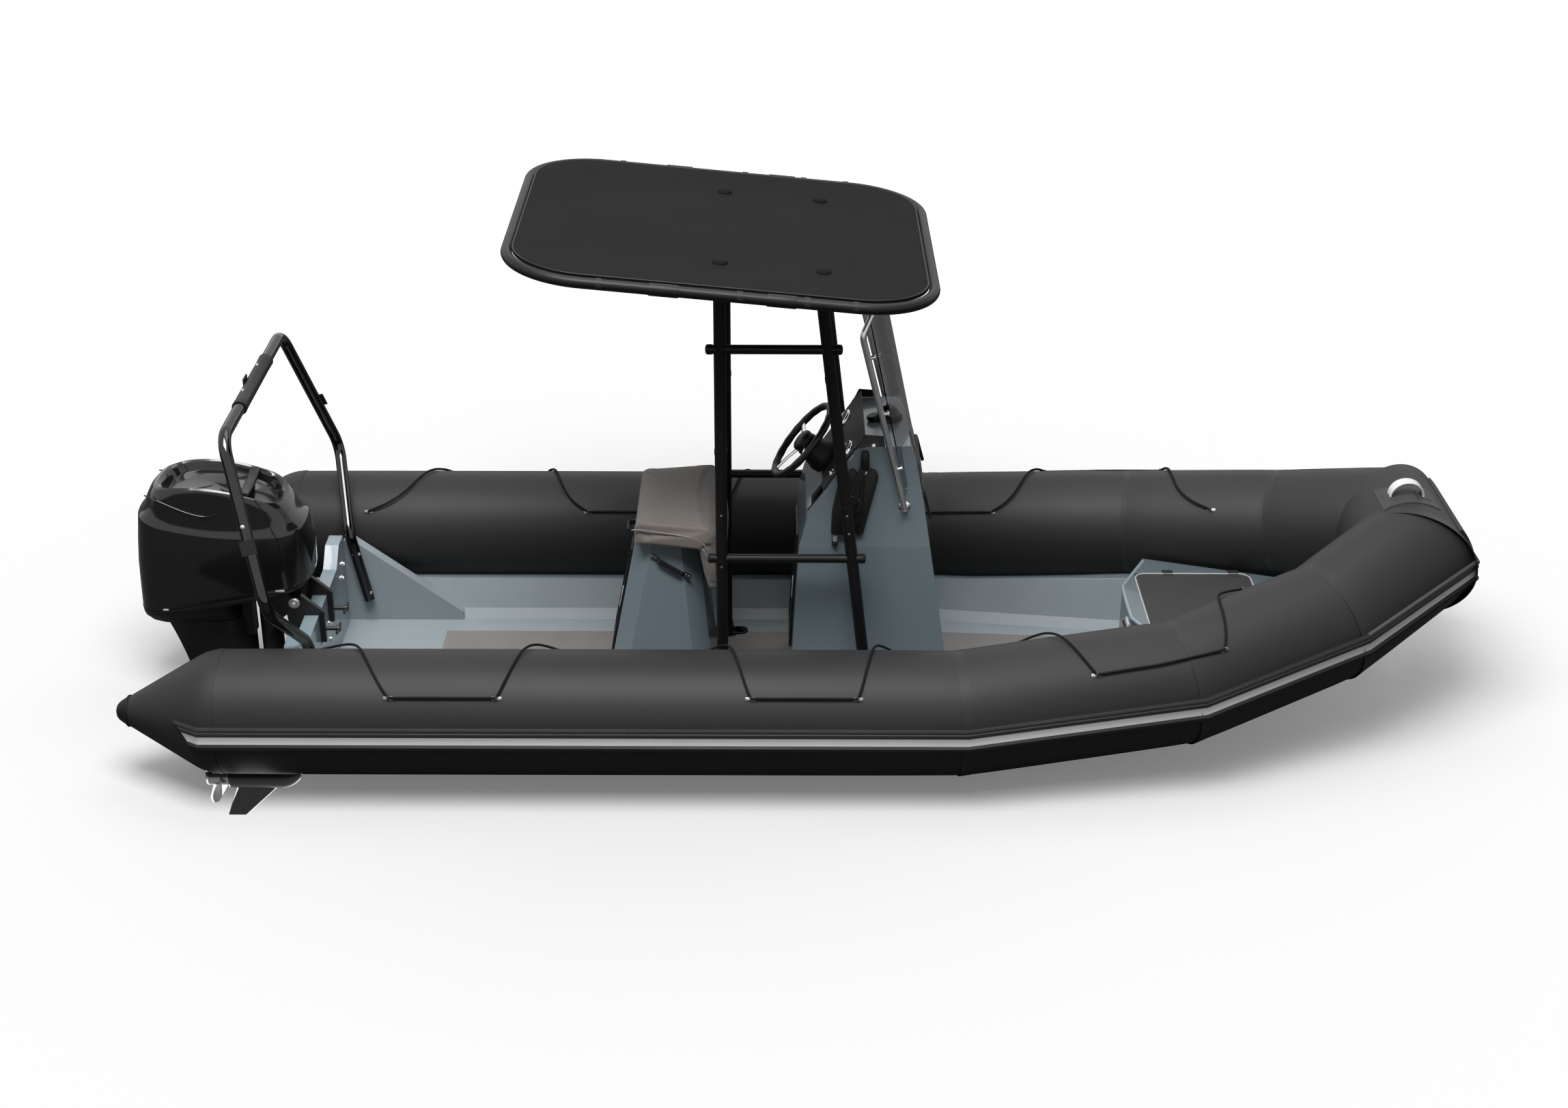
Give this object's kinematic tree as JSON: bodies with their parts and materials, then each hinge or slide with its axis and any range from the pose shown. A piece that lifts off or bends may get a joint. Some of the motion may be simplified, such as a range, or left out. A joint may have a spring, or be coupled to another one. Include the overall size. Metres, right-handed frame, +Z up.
{
  "type": "inflatable rib boat",
  "caption": "Rigid-hulled inflatable boat with side tubes, helm console and seat, cloth top on legs, stern light arch, bow locker and a tilting outboard motor.",
  "frame": {"origin": "on the centreline, amidships, in the waterline plane", "axes": "+X to the bow, +Y to port, +Z up"},
  "size_m": [5.6293, 2.252, 2.8593],
  "materials": {
    "tube_fabric": "matt coated fabric",
    "strake": "matt extruded rubber",
    "rope": "braided",
    "gelcoat": "gloss moulded laminate",
    "black_plastic": "satin",
    "patch": "matt",
    "handle_grey": "satin",
    "lid": "fine texture",
    "mat": "brushed foam",
    "cushion": "matt coated cloth",
    "smoked_glass": "smoked, gloss",
    "stainless": "polished",
    "dark_stainless": "polished, dark",
    "black_tube": "satin",
    "cloth": "matt woven",
    "black_rubber": "satin",
    "cowling": "gloss",
    "motor_paint": "satin",
    "engine_metal": "cast"
  },
  "bodies": {
    "boat": {"bow_deck": "gelcoat", "bow_handle": "handle_grey", "clamp_bracket": "motor_paint", "console_shell": "gelcoat", "dash_panel": "black_plastic", "deck_liner": "gelcoat", "floor_mat": "mat", "gauges": "black_plastic", "helm": "black_plastic", "hinges": "black_plastic", "hull": "gelcoat", "lifeline_eyes": "patch", "lifeline_port": "rope", "lifeline_starboard": "rope", "light_arch": "dark_stainless", "light_brackets": "black_plastic", "seat_base": "gelcoat", "seat_cushion": "cushion", "seat_handles": "black_plastic", "strake_bow": "strake", "strake_port": "strake", "strake_starboard": "strake", "throttle_control": "black_plastic", "top_cloth": "cloth", "top_frame": "black_tube", "top_legs_port": "black_tube", "top_legs_starboard": "black_tube", "towing_eyes": "stainless", "transom": "gelcoat", "tube_bow": "tube_fabric", "tube_port": "tube_fabric", "tube_starboard": "tube_fabric", "windscreen": "smoked_glass", "windscreen_rail": "stainless"},
    "tilt_bracket": {"swivel_bracket": "motor_paint"},
    "motor": {"cowling_upper": "cowling", "cowling_lower": "cowling", "powerhead": "engine_metal", "engine_leg": "motor_paint", "gearcase": "motor_paint"},
    "propeller_body": {"propeller": "motor_paint"},
    "wheel": {"steering_wheel": "black_rubber"},
    "console_door": {"console_hatch": "black_plastic"},
    "seat_door": {"seat_hatch": "black_plastic"},
    "locker_lid": {"bow_locker_lid": "lid"}
  },
  "joints": [
    {"name": "engine_tilt", "type": "hinge", "parent": "boat", "child": "tilt_bracket", "pos_m": [-2.195, 0, 0.4], "axis": [0, 1, 0], "range_deg": [0, 65]},
    {"name": "engine_steer", "type": "hinge", "parent": "tilt_bracket", "child": "motor", "pos_m": [-2.33, 0, 0.25], "axis": [0, 0, 1], "range_deg": [-30, 30]},
    {"name": "propeller_spin", "type": "hinge", "parent": "motor", "child": "propeller_body", "pos_m": [-2.64, 0, -0.54], "axis": [1, 0, 0], "continuous": true},
    {"name": "wheel_turn", "type": "hinge", "parent": "boat", "child": "wheel", "pos_m": [-0.035, 0, 1.108], "axis": [-0.766, 0, 0.6428], "range_deg": [-720, 720]},
    {"name": "console_hatch_swing", "type": "hinge", "parent": "boat", "child": "console_door", "pos_m": [-0.06991, 0.132, 0.47527], "axis": [-0.0512, 0, -0.9987], "range_deg": [0, 110]},
    {"name": "seat_hatch_swing", "type": "hinge", "parent": "boat", "child": "seat_door", "pos_m": [-0.79737, 0.132, 0.42603], "axis": [-0.1936, 0, -0.9811], "range_deg": [0, 110]},
    {"name": "locker_lid_lift", "type": "hinge", "parent": "boat", "child": "locker_lid", "pos_m": [1.695, 0.27607, 0.359], "axis": [-1, 0, 0], "range_deg": [0, 65]}
  ],
  "couplings": [
    {"joint": "wheel_turn", "follows": "engine_steer", "ratio": -24}
  ]
}
